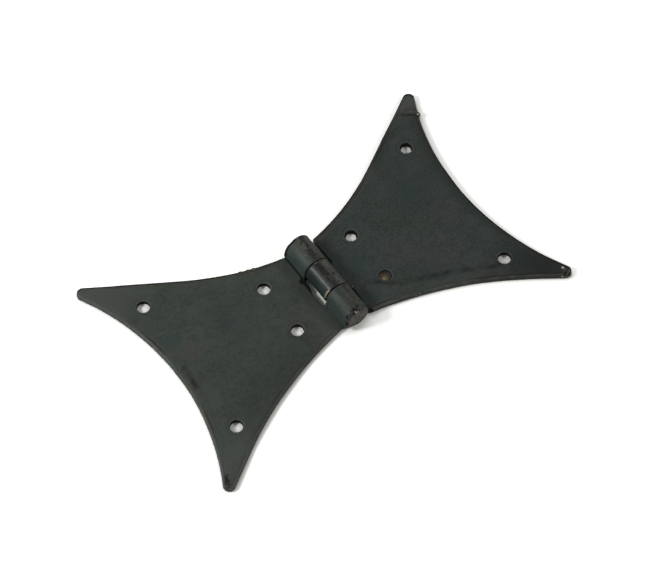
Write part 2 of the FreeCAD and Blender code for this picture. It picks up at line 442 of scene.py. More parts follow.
def scuff_barrel(skin):
    """Scuffs and stains on the three knuckles, placed along the pin and round it, with painted light on
    their right sides, painted shade tinted blue on their left sides, and grime and painted shade in the
    gaps.
    """
    gap_grime_and_shade = 0.36
    skin.paint("rolled", (1.0 - skin.off_barrel) * skin.barrel_side)
    # Painted shade with a blue tint on the knuckles' left sides
    left_side = smooth_step(28.0, 60.0, skin.turn) * skin.barrel_side
    skin.paint("blue", left_side * (0.75 + 0.4 * skin.noise(4.0, 101)))
    # Painted light on the knuckles' right sides
    right_side = smooth_step(-14.0, -32.0, skin.turn) * skin.barrel_side
    skin.paint("pale", right_side * (0.45 + 0.3 * skin.noise(1.4, 104, 2)))
    # Grime and painted shade in the gaps between the knuckles
    for edge in knuckle_edges:
        skin.paint("grime_and_shade", 0.85 * bell(skin.along, edge, gap_grime_and_shade) * skin.barrel_side)
    broken = 0.85 + 0.5 * skin.noise(1.5, 103, 2)
    scuff_far_knuckle(skin, broken)
    scuff_middle_knuckle(skin, broken)
    scuff_near_knuckle(skin, broken)


def scuff_far_knuckle(skin, broken):
    """A brown top, worn, blotted and flecked, and one bright nick."""
    stain = skin.band((14.6, -12.0), (5.4, -12.0), 3.2, 34.0)
    wear = skin.band((14.4, -6.0), (5.6, -10.0), 3.0, 34.0)
    blot = skin.band((13.6, -13.0), (6.0, -13.0), 1.8, 17.0)
    fleck = skin.band((14.6, -12.0), (5.0, -14.0), 2.4, 30.0)
    nick = skin.spot(8.34, 19.0, 0.4, 5.0)
    skin.paint("brown", stain * broken)
    skin.paint("worn", wear * (0.35 + 0.55 * skin.noise(0.8, 102, 2)))
    skin.paint("scuff", blot * smooth_step(-0.35, 0.25, skin.noise(1.1, 105, 2)))
    skin.paint("scuff", fleck * 1.5 * skin.flecks(1.0, 106, 0.0))
    skin.paint("bright", nick * 0.45)


def scuff_middle_knuckle(skin, broken):
    """A brown top with scuffs and wear, a smooth stripe, a left side darkened with painted shade and bare
    rims.
    """
    middle = (skin.along > knuckle_edges[0]) & (skin.along < knuckle_edges[1])
    stain = skin.band((3.2, -8.0), (-6.6, -8.0), 2.4, 30.0)
    drag = skin.band((2.6, 6.0), (-6.0, 1.0), 2.2, 22.0)
    wear = skin.band((3.0, -28.0), (-7.0, -28.0), 2.0, 26.0)
    near_rim = middle * skin.spot(-7.1, 62.0, 0.9, 36.0)
    far_rim = middle * skin.spot(4.0, 8.0, 0.5, 11.0)
    nick = skin.spot(-6.0, -10.0, 0.35, 5.0)
    skin.paint("brown", stain * broken)
    skin.paint("scuff", drag * (1.5 + 1.3 * skin.noise(1.2, 107, 2)))
    skin.paint("scuff", skin.spot(-2.7, -24.0, 1.3, 11.0))
    skin.paint("worn", wear * (0.8 + 1.0 * skin.noise(0.9, 108, 2)))
    skin.paint("smooth", middle * bell(skin.turn, 33.0, 10.0) * skin.barrel_side)
    # Painted shade on the middle knuckle's left side
    skin.paint("dim", middle * smooth_step(38.0, 52.0, skin.turn) * skin.barrel_side)
    skin.paint("bare", near_rim * (0.95 + 0.5 * skin.noise(0.9, 109)))
    skin.paint("bare", far_rim * 0.8)
    skin.paint("bright", nick * 0.5)


def scuff_near_knuckle(skin, broken):
    """A brown right side with dragged scuffs and flecks, and a dim, lightly worn top."""
    stain = skin.band((-8.4, -18.0), (-18.0, -14.0), 2.4, 28.0)
    wear = skin.band((-8.4, -6.0), (-17.0, -4.0), 2.2, 24.0)
    shade = skin.band((-8.4, 8.0), (-17.0, 8.0), 2.0, 24.0)
    drag = skin.band((-8.2, -18.0), (-17.4, -11.0), 1.8, 17.0)
    end_fleck = skin.band((-15.0, -26.0), (-17.2, -18.0), 1.8, 24.0)
    side_fleck = skin.band((-8.8, -26.0), (-14.0, -28.0), 2.0, 20.0)
    skin.paint("brown", stain * broken)
    skin.paint("worn", wear * 0.2 * skin.flecks(0.8, 110))
    skin.paint("dim", shade * 0.45)
    skin.paint("scuff", drag * smooth_step(-0.1, 0.4, skin.streaks(0.9, 111)))
    skin.paint("scuff", end_fleck * 1.2 * skin.flecks(0.9, 112, 0.05))
    skin.paint("scuff", side_fleck * 1.1 * skin.flecks(1.0, 113, 0.05))


def nick_edge(skin, places, reach, depth, mask, strength=1.0):
    """Small nicks or burrs along a leaf's edge; a negative depth stands out."""
    above_floor = smooth_step(0.3, 1.6, skin.start[:, 2])
    for place in places:
        near = skin.near(place, reach) * above_floor
        skin.points -= (depth * near)[:, None] * skin.normals
        skin.paint(mask, strength * near ** 0.7)


def clog_slot(skin):
    """A lump of scale in the far corner of the slot beside the barrel, clear of the plate that swings by,
    darkened with grime and painted shade.
    """
    corner = (-5.7, knuckle_edges[1], 1.3)
    lump_reach = 3.2
    grime_and_shade_reach = 2.4
    clear = smooth_step(-4.95, -5.35, skin.start[:, 0])
    slot_wall = smooth_step(-0.2, -0.6, skin.normals[:, 1])
    lump = near_point(skin.start, corner, lump_reach) * clear * slot_wall
    skin.points[:, 1] -= lump * (4.8 + 0.9 * skin.noise(1.0, 119))
    # Grime and painted shade in the slot's far corner
    skin.paint("grime_and_shade", 1.3 * near_point(skin.start, corner, grime_and_shade_reach))


def pit_left_tip(skin):
    """A shallow scuffed pit at the near tip, with two bright nicks."""
    nicks = ((-69.1, -43.7), (-68.2, -44.3))
    pit = skin.beside((-67.2, -41.2), (-69.0, -44.4), 1.7)
    pit *= smooth_step(0.5, 0.9, skin.normals[:, 2])
    skin.points[:, 2] -= pit * (0.22 + 0.15 * skin.noise(0.8, 121))
    skin.paint("scuff", pit * (0.35 + skin.flecks(0.8, 123, -0.1)))
    nick_edge(skin, nicks, 0.4, -0.12, "bright", 0.7)


def soil_left(skin):
    """A soiled streak inside the left end's edge, and brown along the waist's near edge."""
    streak = ((-56.3, -0.5, plate_top), (-57.0, -8.5, plate_top))
    waist = skin.beside((-8.0, -15.0), (-20.0, -18.5), 9.0) * skin.top_face
    skin.paint("scuff", near_line(skin.start, *streak, 1.5) * (0.58 + 0.5 * skin.noise(2.2, 125, 2)))
    skin.paint("brown", near_line(skin.start, *streak, 3.4) * (0.4 + 0.5 * skin.noise(2.4, 126)))
    skin.paint("brown", waist * (0.26 + 0.3 * skin.noise(3.0, 127)))


def tint_left(skin):
    """Broad pale, warm, blue and dim areas of the left leaf."""
    pale_reach = 28.0
    pale_tips = (((-67.5, 42.0), 0.85), ((-67.0, -40.0), 0.6))
    warm_spots = (((-61.8, 33.0), 9.0), ((-51.1, 4.2), 8.0), ((-15.5, -6.3), 9.0), ((-12.0, -15.0), 10.0))
    dim_spots = (((-59.4, 24.4), 3.5, 0.4), ((-19.0, -13.0), 9.0, 0.35))
    for place, strength in pale_tips:
        skin.paint("pale", skin.near(place, pale_reach) * strength * skin.top_face)
    for place, reach in warm_spots:
        skin.paint("warm", skin.near(place, reach))
    for place, reach, strength in dim_spots:
        skin.paint("dim", skin.near(place, reach) * strength)
    skin.paint("pale", skin.beside((-7.5, -8.0), (-9.5, -17.0), 6.0) * skin.off_barrel * 0.45)
    skin.paint("blue", skin.near((-54.7, 10.6), 6.0) * 0.8)
    skin.paint("blue", skin.beside((-30.0, -4.0), (-36.0, 12.0), 9.0) * 0.4)
    skin.paint("dim", skin.beside((-24.0, -16.0), (-46.0, -26.0), 14.0) * 0.3)


def mark_left(skin):
    """Marks that only the left leaf has."""
    far_edge_burrs = ((-20.7, 19.4), (-18.2, 18.5), (-16.4, 17.9))
    groove_seam(skin, -1, barrel_near + 1.0, knuckle_edges[0] - 0.3, 0.65)
    groove_seam(skin, -1, knuckle_edges[1] + 0.3, barrel_far - 0.2, 1.2)
    clog_slot(skin)
    fray_far_end(skin)
    fray_near_end(skin)
    nick_edge(skin, far_edge_burrs, 0.9, -0.25, "bare")
    pit_left_tip(skin)
    soil_left(skin)
    tint_left(skin)


def crook_shoulder(skin):
    """The right leaf's near shoulder runs in towards the barrel's end, where the pit at its corner gets
    grime and painted shade.
    """
    bend_width = 4.0
    least_bend = 0.15
    most_bend = 0.85
    reach = 1.0 - smooth_step(shoulder_reach + 0.2, shoulder_reach + bend_width, skin.start[:, 0])
    closing = smooth_step(knuckle_edges[0] + 0.2, barrel_near + 1.5, skin.along)
    beside = (skin.start[:, 0] > shoulder_reach - 0.4) & (skin.along < knuckle_edges[0] + 0.3)
    skin.points[:, 0] -= beside * reach * (least_bend + most_bend * closing)
    # Grime and painted shade in the pit between the shoulder's corner and the barrel's end
    dark_pit = skin.beside((6.9, -16.6), (7.3, -18.3), 1.4)
    dark_pit *= smooth_step(0.3, 1.4, skin.start[:, 2])
    skin.paint("grime_and_shade", dark_pit * (0.55 + 1.1 * skin.noise(0.9, 139)))


def warp_right(skin):
    """The right leaf drawn out a little towards its near tip, and sprung off the floor to its far side."""
    flat_reach = 10.0
    draw_slope = 0.0036
    spread_slope = 0.00018
    lift_slope = 0.0042
    outward = np.clip(skin.start[:, 0] - flat_reach, 0.0, None)
    far_side = np.clip(skin.along / 40.0, -0.7, 1.0)
    skin.points[:, 0] += draw_slope * outward * (1.0 - far_side)
    skin.points[:, 1] += spread_slope * outward * skin.along
    skin.points[:, 2] += lift_slope * outward * (1.0 + 0.35 * far_side)


def crease_far_tip(skin):
    """The far tip bent down past a dark crease, with a worn ridge along it, a bare burr on the edge and a
    painted glint at the crease's end.
    """
    tip_burr = (66.9, 36.0)
    crease = skin.beside((61.8, 39.0), (66.4, 35.7), 0.95) * skin.upward
    ridge = skin.beside((63.6, 38.6), (67.2, 36.6), 0.9) * skin.upward
    past_crease = (skin.start[:, 0] - 64.5) * 0.41 + (skin.along - 37.7) * 0.91
    beyond = smooth_step(0.0, 4.0, past_crease) * (skin.along > 30.0) * skin.upward
    skin.points[:, 2] += 0.2 * ridge - 0.25 * crease - 0.3 * beyond
    skin.paint("scuff", crease * (0.85 + 0.6 * skin.near((66.2, 35.8), 4.0)))
    skin.paint("worn", ridge * (0.35 + 1.2 * skin.noise(0.8, 129)))
    skin.paint("pale", beyond)
    burr = skin.near(tip_burr, 1.5) * smooth_step(0.3, 1.6, skin.start[:, 2])
    skin.points += (0.8 * burr)[:, None] * skin.normals
    skin.masks["grime_and_shade"] *= 1.0 - 0.8 * burr
    skin.paint("bare", burr ** 0.7 * (0.38 + 0.8 * skin.noise(0.8, 130)))
    skin.paint("grime_and_shade", skin.near((67.3, 37.6), 1.1) * 0.9)
    skin.paint("brown", skin.beside((64.5, 40.0), (67.0, 38.4), 2.2) * 0.7)
    # Painted highlight: a glint of bright steel colour at the crease's end
    skin.paint("bright", skin.near((66.3, 36.0), 0.6) * skin.upward * 0.7)


def wear_near_tip(skin):
    """The near tip worn down, brown and grimy with flecks of bare metal and two bright nicks."""
    nicks = ((67.9, -42.0), (65.9, -44.7))
    towards_tip = 0.6 * (skin.start[:, 0] - 66.9) - 0.8 * (skin.along + 43.4)
    worn = smooth_step(-0.7, 0.5, towards_tip + 0.4 * skin.noise(1.0, 131)) * (skin.along < -36.0)
    skin.points[:, 2] -= worn * (0.2 + 0.2 * skin.noise(1.0, 133)) * skin.upward
    skin.paint("brown", worn * 1.2)
    skin.paint("scuff", worn * 0.5)
    skin.paint("bare", worn * (0.9 * skin.noise(0.9, 135) - 0.05))
    skin.paint("bare", skin.beside((66.6, -45.2), (69.0, -44.2), 0.5) * 0.6)
    skin.paint("grime_and_shade", worn * (0.32 + 0.55 * skin.noise(1.1, 136)))
    nick_edge(skin, nicks, 0.75, 0.15, "bright")


def line_near_edge(skin):
    """An arris lightened by wear and a painted highlight, nicks on the near edge, and inside it a long dim
    scratch beside a pale one.
    """
    nicks = ((20.8, -21.7), (22.0, -22.0), (23.4, -22.4), (32.3, -25.0))
    scratch = ((11.8, -8.8), (20.0, -15.2), (28.4, -18.6), (37.4, -21.9), (48.6, -27.9), (53.6, -29.7))
    aside = np.array((-1.2, -2.4))
    # Wear and a painted highlight along the near edge's arris
    arris = smooth_step(0.15, 0.35, skin.from_edge) * (1.0 - smooth_step(0.5, 0.8, skin.from_edge))
    arris *= smooth_step(-0.5, -0.9, skin.edge_facing) * skin.upward
    skin.paint("worn", arris * (0.32 + 0.6 * skin.noise(3.0, 140, 2)))
    nick_edge(skin, nicks, 0.6, 0.12, "bare", 0.55)
    dim_strength = skin.upward * (0.5 + 0.45 * skin.noise(2.2, 137, 2))
    pale_strength = skin.upward * (0.22 + 0.2 * skin.noise(2.0, 138))
    for start, end in zip(scratch, scratch[1:]):
        skin.paint("dim", skin.beside(start, end, 1.7) * dim_strength)
        skin.paint("pale", skin.beside(start + aside, end + aside, 2.6) * pale_strength)


def tint_right(skin):
    """Broad dim, warm and blue areas of the right leaf."""
    warm_spots = (((28.6, -5.9), 11.0), ((38.5, -13.5), 12.0), ((48.3, -28.3), 12.0), ((50.0, -2.0), 9.0))
    blue_spots = (((12.1, 0.6), 8.0), ((9.5, -14.3), 6.0), ((44.0, 12.0), 9.0))
    for place, reach in warm_spots:
        skin.paint("warm", skin.near(place, reach))
    for place, reach in blue_spots:
        skin.paint("blue", skin.near(place, reach) * 0.7)
    skin.paint("dim", skin.near((64.0, -39.0), 28.0) * skin.upward * 0.85)
    end_band = (1.0 - smooth_step(0.6, 4.5, skin.from_edge)) * smooth_step(38.0, 44.0, skin.start[:, 0])
    skin.paint("dim", end_band * (skin.along < 36.0) * 0.55)


def mark_right(skin):
    """Marks that only the right leaf has."""
    shoulder_corner = (shoulder_reach + 0.1, knuckle_edges[0] + 0.4)
    warp_right(skin)
    crook_shoulder(skin)
    groove_seam(skin, 1, knuckle_edges[0] + 0.3, knuckle_edges[1] - 0.3, 1.0)
    nick_edge(skin, (shoulder_corner,), 0.7, -0.2, "bare", 0.6)
    crease_far_tip(skin)
    wear_near_tip(skin)
    line_near_edge(skin)
    tint_right(skin)


def socket_value(node, name, value):
    """Sets one input of a shader node."""
    node.inputs[name].default_value = value


class Board:
    """A material's node board, with short ways to add what the steel needs."""

    def __init__(self, name):
        self.material = bpy.data.materials.new(name)
        self.material.use_nodes = True
        self.nodes = self.material.node_tree.nodes
        self.links = self.material.node_tree.links
        self.shader = self.nodes["Principled BSDF"]
        self.place = self.nodes.new("ShaderNodeTexCoord").outputs["Object"]

    def join(self, source, node, name):
        self.links.new(source, node.inputs[name])

    def noise(self, size, detail, roughness, shift=0.0):
        """Noise with features of a size in millimetres."""
        node = self.nodes.new("ShaderNodeTexNoise")
        node.noise_dimensions = "4D"
        socket_value(node, "Scale", 1.0 / (size * MM))
        socket_value(node, "Detail", detail)
        socket_value(node, "Roughness", roughness)
        socket_value(node, "W", shift)
        self.join(self.place, node, "Vector")
        return node.outputs["Fac"]

    def streaks(self, stretch, size, shift):
        """Noise drawn out along the axis that the stretch makes small."""
        drawn = self.nodes.new("ShaderNodeVectorMath")
        drawn.operation = "MULTIPLY"
        self.links.new(self.place, drawn.inputs[0])
        drawn.inputs[1].default_value = stretch
        node = self.noise(size, 3.0, 0.6, shift + 21.0).node
        self.links.new(drawn.outputs["Vector"], node.inputs["Vector"])
        return node.outputs["Fac"]

    def mask(self, name):
        node = self.nodes.new("ShaderNodeAttribute")
        node.attribute_name = name
        return node.outputs["Fac"]

    def span(self, source, low, high, to_low=0.0, to_high=1.0):
        """A value moved from one range to another, held at its ends."""
        node = self.nodes.new("ShaderNodeMapRange")
        node.interpolation_type = "SMOOTHSTEP"
        socket_value(node, "From Min", low)
        socket_value(node, "From Max", high)
        socket_value(node, "To Min", to_low)
        socket_value(node, "To Max", to_high)
        self.join(source, node, "Value")
        return node.outputs["Result"]

    def sum_or_product(self, operation, first, second):
        node = self.nodes.new("ShaderNodeMath")
        node.operation = operation
        self.links.new(first, node.inputs[0])
        if isinstance(second, float):
            node.inputs[1].default_value = second
        else:
            self.links.new(second, node.inputs[1])
        return node.outputs["Value"]

    def times(self, first, second):
        return self.sum_or_product("MULTIPLY", first, second)

    def plus(self, first, second):
        return self.sum_or_product("ADD", first, second)

    def stripe(self, source, start, full, fading, end):
        """1 where a value lies between full and fading, with soft sides."""
        return self.times(self.span(source, start, full), self.span(source, fading, end, 1.0, 0.0))

    def distance(self, name, size, shift, wander):
        """A distance kept in a mask, in millimetres, made to wander by noise."""
        drift = self.times(self.plus(self.noise(size, 3.0, 0.6, shift), -0.5), wander)
        return self.plus(self.times(self.mask(name), band_span), drift)

    def broken(self, name, size, shift, strength=1.0):
        """A mask whose edge is broken up by fine noise."""
        rough = self.times(self.plus(self.noise(size, 4.0, 0.65, shift), -0.5), 0.9)
        share = self.span(self.plus(self.mask(name), rough), 0.25, 0.75)
        return self.times(share, strength)

    def mix(self, share, first, second):
        """Colours mixed by a share; each is a link or a colour."""
        node = self.nodes.new("ShaderNodeMix")
        node.data_type = "RGBA"
        self.links.new(share, node.inputs["Factor"])
        for value, socket in ((first, node.inputs[6]), (second, node.inputs[7])):
            if isinstance(value, tuple):
                socket.default_value = (*value, 1.0)
            else:
                self.links.new(value, socket)
        return node.outputs[2]

    def wash(self, colour, name, strength, tone):
        """A colour with a tone laid over it as strongly as a mask says."""
        return self.mix(self.times(self.mask(name), strength), colour, tone)

    def bump(self, height, strength, distance, below=None):
        node = self.nodes.new("ShaderNodeBump")
        socket_value(node, "Strength", strength)
        socket_value(node, "Distance", distance * MM)
        self.join(height, node, "Height")
        if below is not None:
            self.join(below, node, "Normal")
        return node.outputs["Normal"]


def ground_colour(board, shift, deep, lighter):
    """The steel's own colour between two shades: mottled, grained and drawn, with black specks."""
    mottle = board.span(board.noise(16.0, 6.0, 0.6, shift), 0.32, 0.68)
    colour = board.mix(mottle, deep, lighter)
    cool = board.times(board.span(board.noise(15.0, 3.0, 0.5, shift + 3.0), 0.48, 0.66), 0.4)
    colour = board.mix(cool, colour, (deep[0], deep[1] * 1.15, deep[2] * 1.3))
    warm = board.broken("warm", 11.0, shift + 4.0, 0.75)
    colour = board.mix(warm, colour, (lighter[0] * 1.08, lighter[1] * 0.85, lighter[2] * 0.92))
    patches = board.times(board.span(board.noise(3.4, 4.0, 0.6, shift + 5.0), 0.44, 0.6), 0.4)
    colour = board.mix(patches, colour, tuple(0.6 * part for part in deep))
    grain = board.span(board.noise(0.55, 2.0, 0.6, shift + 2.0), 0.34, 0.66)
    colour = board.mix(board.times(grain, 0.42), colour, grain_grey)
    across = board.streaks((0.12, 1.0, 1.0), 0.7, shift)
    along = board.streaks((1.0, 0.12, 1.0), 0.6, shift)
    brushed = board.mix(board.mask("rolled"), across, along)
    drawn = board.span(board.mask("rolled"), 0.0, 1.0, 0.1, 0.32)
    colour = board.mix(board.times(board.span(brushed, 0.52, 0.7), drawn), colour, drawn_light)
    colour = board.mix(board.times(board.span(brushed, 0.48, 0.3), drawn), colour, drawn_dark)
    specks = board.times(board.span(board.noise(1.3, 2.0, 0.5, shift + 6.0), 0.66, 0.78), 0.5)
    return board.mix(specks, colour, speck_black)


def edge_colour(board, shift, colour):
    """Worn and dark bands laid along the leaf's edges and round its holes, with a pale rim of wear and
    painted highlight, painted shade at the foot of the walls and a painted highlight on the holes' lips.
    """
    from_edge = board.plus(board.distance("edge", 2.4, shift + 17.0, 0.4), -wall_span)
    patchy = board.span(board.noise(11.0, 3.0, 0.6, shift + 18.0), 0.42, 0.62)
    shoulder = board.stripe(from_edge, 0.2, 0.5, 1.8, 2.6)
    shoulder = board.times(shoulder, board.span(patchy, 0.0, 1.0, 0.15, 0.6))
    colour = board.mix(shoulder, colour, edge_olive)
    inner_line = board.times(board.stripe(from_edge, 0.65, 0.9, 1.05, 1.5), patchy)
    colour = board.mix(board.times(inner_line, 0.75), colour, line_and_shade_black)
    # Wear and a painted highlight in a pale rim along the top of the edges
    rim = board.stripe(from_edge, -0.4, -0.15, 0.25, 0.7)
    rim = board.times(rim, board.span(patchy, 0.0, 1.0, 0.25, 1.0))
    colour = board.mix(board.times(rim, 0.46), colour, rim_wear_and_highlight)
    # Painted shade: near-black at the foot of the edges' walls
    outline = board.times(board.span(from_edge, -0.6, -0.3, 1.0, 0.0), 0.95)
    colour = board.mix(outline, colour, line_and_shade_black)
    from_hole = board.distance("hole", 1.6, shift + 19.0, 0.9)
    # Painted highlight: a pale ring on each hole's lip
    lip = board.times(board.stripe(from_hole, 0.15, 0.3, 0.4, 0.6), 0.24)
    colour = board.mix(lip, colour, lip_highlight)
    ring = board.times(board.stripe(from_hole, 0.6, 0.85, 1.0, 1.5), 0.26)
    return board.mix(ring, colour, ring_dark)


def mark_colour(board, shift, colour):
    """Tints, painted light and shade, stains, wear and scuffs laid where the masks say, with pits and
    chafing in the brown.
    """
    colour = board.wash(colour, "dim", 0.9, dim_black)
    colour = board.wash(colour, "pale", 0.6, pale_grey)
    colour = board.wash(colour, "blue", 0.6, blue_tint_and_shade)
    colour = board.mix(board.broken("brown", 2.2, shift + 8.0, 0.75), colour, stain_brown)
    colour = board.wash(colour, "worn", 0.75, wear_and_highlight_tan)
    colour = board.wash(colour, "scuff", 0.92, scuff_black)
    pits = board.span(board.noise(0.75, 3.0, 0.7, shift + 22.0), 0.54, 0.64)
    pitted = board.times(board.mask("brown"), pits)
    colour = board.mix(board.times(pitted, 0.75), colour, pit_black)
    chafing = board.span(board.noise(0.65, 3.0, 0.7, shift + 23.0), 0.57, 0.67)
    chafed = board.times(board.mask("brown"), chafing)
    return board.mix(board.times(chafed, 0.6), colour, chafed_tan)


def dark_steel(name, shift, deep, lighter):
    """Waxed black steel between two shades: mottled and stained, worn bare in places, with grime, painted
    shade and painted glints.
    """
    board = Board(name)
    colour = ground_colour(board, shift, deep, lighter)
    colour = edge_colour(board, shift, colour)
    colour = mark_colour(board, shift, colour)
    bare = board.broken("bare", 0.8, shift + 10.0)
    colour = board.mix(bare, colour, bare_steel)
    bright = board.broken("bright", 0.5, shift + 12.0)
    colour = board.mix(bright, colour, bright_steel_and_glint)
    grime_and_shade = board.broken("grime_and_shade", 0.9, shift + 14.0, 0.95)
    colour = board.mix(grime_and_shade, colour, grime_and_shade_black)
    board.join(colour, board.shader, "Base Color")

    metal = board.plus(board.times(bare, 0.4), board.times(bright, 0.6))
    board.join(metal, board.shader, "Metallic")
    rough = board.span(board.noise(5.0, 5.0, 0.6, shift + 7.0), 0.3, 0.7, 0.48, 0.6)
    duller = board.plus(rough, board.times(grime_and_shade, 0.35))
    board.join(duller, board.shader, "Roughness")
    socket_value(board.shader, "Specular IOR Level", 0.14)
    board.join(board.times(board.mask("smooth"), 0.11), board.shader, "Coat Weight")
    socket_value(board.shader, "Coat Roughness", 0.26)
    fine = board.bump(board.noise(0.6, 4.0, 0.65, shift + 9.0), 0.25, 0.06)
    broad = board.bump(board.noise(3.6, 3.0, 0.5, shift + 16.0), 0.2, 0.10, fine)
    board.join(broad, board.shader, "Normal")
    return board.material


def pin_steel():
    """The pin's hammered, dull steel."""
    board = Board("pin_steel")
    mottle = board.span(board.noise(1.6, 5.0, 0.62), 0.3, 0.7)
    colour = board.mix(mottle, (0.013, 0.013, 0.010), (0.090, 0.089, 0.076))
    rust = board.span(board.noise(3.0, 3.0, 0.6, 7.0), 0.45, 0.62)
    colour = board.mix(board.times(rust, 0.7), colour, (0.050, 0.038, 0.022))
    board.join(colour, board.shader, "Base Color")
    rough = board.span(board.noise(1.0, 4.0, 0.6, 3.0), 0.3, 0.7, 0.42, 0.6)
    board.join(rough, board.shader, "Roughness")
    socket_value(board.shader, "Metallic", 0.2)
    socket_value(board.shader, "Specular IOR Level", 0.15)
    board.join(board.bump(board.noise(0.8, 4.0, 0.6, 5.0), 0.5, 0.15), board.shader, "Normal")
    return board.material


def wax_material():
    """Tan wax and rust left in a screw hole, with painted shade towards its rim and a painted highlight on
    one side.
    """
    board = Board("hole_wax")
    mottle = board.span(board.noise(1.4, 4.0, 0.6), 0.3, 0.7)
    colour = board.mix(mottle, (0.048, 0.034, 0.016), (0.105, 0.080, 0.045))
    # Painted shade: dark away from the highlight, towards the film's rim
    colour = board.mix(board.span(board.mask("rim"), 0.3, 0.75), colour, (0.012, 0.009, 0.005))
    # Painted highlight: a pale spot on one side of the film
    spot = board.span(board.mask("rim"), 0.0, 0.3, 1.0, 0.0)
    colour = board.mix(board.times(spot, 0.6), colour, (0.33, 0.28, 0.19))
    board.join(colour, board.shader, "Base Color")
    rough = board.span(board.noise(0.7, 3.0, 0.6, 2.0), 0.3, 0.7, 0.5, 0.75)
    board.join(rough, board.shader, "Roughness")
    socket_value(board.shader, "Specular IOR Level", 0.2)
    board.join(board.bump(board.noise(0.5, 4.0, 0.6, 4.0), 0.5, 0.12), board.shader, "Normal")
    return board.material


def hole_wax():
    """A dished film of wax across the bottom of one screw hole."""
    centre_x, centre_y = hole_places[3]
    rings = 14
    spokes = 48
    film_height = 0.6
    film_thickness = 0.2
    dish = 0.75
    ripple = 0.06
    edge = hole_radius - 0.12
    points = [(centre_x, centre_y, film_height)]
    for ring in range(1, rings + 1):
        share = ring / rings
        rise = film_height + dish * share ** 3
        for spoke in range(spokes):
            turn = 2 * math.pi * spoke / spokes
            x = centre_x + edge * share * math.cos(turn)
            y = centre_y + edge * share * math.sin(turn)
            points.append((x, y, rise))
    upper = np.array(points)
    upper[:, 2] += ripple * layered_noise(upper, 1.1, 141, 2)
    lower = upper.copy()
    lower[:, 2] -= film_thickness
    count = len(upper)
    last = 1 + (rings - 1) * spokes
    faces = []
    sides = []
    for spoke in range(spokes):
        after = (spoke + 1) % spokes
        faces.append((0, 1 + spoke, 1 + after))
        for ring in range(rings - 1):
            inner = 1 + ring * spokes
            outer = inner + spokes
            faces.append((inner + spoke, outer + spoke, outer + after, inner + after))
        sides.append((last + after, last + spoke, count + last + spoke, count + last + after))
    under = [tuple(count + index for index in reversed(face)) for face in faces]
    mesh = bpy.data.meshes.new("hole_wax")
    mesh.from_pydata([tuple(point * MM) for point in np.vstack([upper, lower])], [], faces + under + sides)
    mesh.materials.append(wax_material())
    mesh.shade_smooth()
    piece = bpy.data.objects.new("hole_wax", mesh)
    bpy.context.scene.collection.objects.link(piece)
    # Place of the film's painted highlight
    highlight_x = centre_x - 0.6
    highlight_y = centre_y - 0.15
    off_centre = np.hypot(upper[:, 0] - highlight_x, upper[:, 1] - highlight_y) / (1.4 * edge)
    write_mask(piece, "rim", np.concatenate([off_centre, off_centre]))
    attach(piece, "door_side")


def forge_leaf(node, name, seed, mark):
    """A leaf with its hammered form and painted marks."""
    leaf_voxel = 0.31
    piece = fine_mesh(node, name, leaf_voxel)
    skin = Skin(piece)
    true_barrel(skin)
    soften_plate(skin, seed)
    rag_edges(skin, seed)
    paint_plate(skin)
    scuff_barrel(skin)
    mark(skin)
    skin.write()
    return piece


def forge_pin():
    """The pin with hammered ends."""
    pin_voxel = 0.16
    end_skin = 0.1
    piece = fine_mesh("hinge_pin", "hinge_pin_riveted", pin_voxel)
    points, normals = vertex_data(piece)
    ends = (points[:, 1] < barrel_near + end_skin) | (points[:, 1] > barrel_far - end_skin)
    hammered = layered_noise(points, 1.2, 151, 2)
    points -= (ends * (0.1 + 0.14 * hammered))[:, None] * normals
    flare = 1.0 + ends * (0.22 + 0.08 * hammered)
    points[:, 0] *= flare
    points[:, 2] = axis_height + (points[:, 2] - axis_height) * flare
    write_vertices(piece, points)
    return piece


def finish_piece(piece, body, node, material):
    """Puts a made piece in the place of its CAD node."""
    piece.data.materials.clear()
    piece.data.materials.append(material)
    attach(piece, body)
    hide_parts(node)


# Leaves, pin and wax
left_deep = (0.0235, 0.0295, 0.0235)
left_lighter = (0.0355, 0.0425, 0.035)
right_deep = (0.0146, 0.0198, 0.0170)
right_lighter = (0.0232, 0.0300, 0.0272)
left = forge_leaf("left_leaf", "left_leaf_forged", 3, mark_left)
left_steel = dark_steel("dark_steel_left", 0.0, left_deep, left_lighter)
finish_piece(left, "frame_side", "left_leaf", left_steel)
right = forge_leaf("right_leaf", "right_leaf_forged", 41, mark_right)
right_steel = dark_steel("dark_steel_right", 20.0, right_deep, right_lighter)
finish_piece(right, "door_side", "right_leaf", right_steel)
finish_piece(forge_pin(), "frame_side", "hinge_pin", pin_steel())
hole_wax()


def white_rays(nodes, links):
    """1 for the rays that show the background: straight to the camera, mirrored or passed through."""
    path = nodes.new("ShaderNodeLightPath")
    total = path.outputs["Is Camera Ray"]
    for name in ("Is Glossy Ray", "Is Transmission Ray"):
        larger = nodes.new("ShaderNodeMath")
        larger.operation = "MAXIMUM"
        links.new(total, larger.inputs[0])
        links.new(path.outputs[name], larger.inputs[1])
        total = larger.outputs["Value"]
    return total


def openness(board, side, distance, low, high):
    """From 0 where nearby things hide the sky on one side of a floor point to 1 where it lies open."""
    leaning = board.nodes.new("ShaderNodeCombineXYZ")
    for name, value in zip("XYZ", side):
        socket_value(leaning, name, value)
    sky = board.nodes.new("ShaderNodeAmbientOcclusion")
    sky.samples = 8
    socket_value(sky, "Distance", distance)
    board.join(leaning.outputs["Vector"], sky, "Normal")
    return board.span(sky.outputs["AO"], low, high)


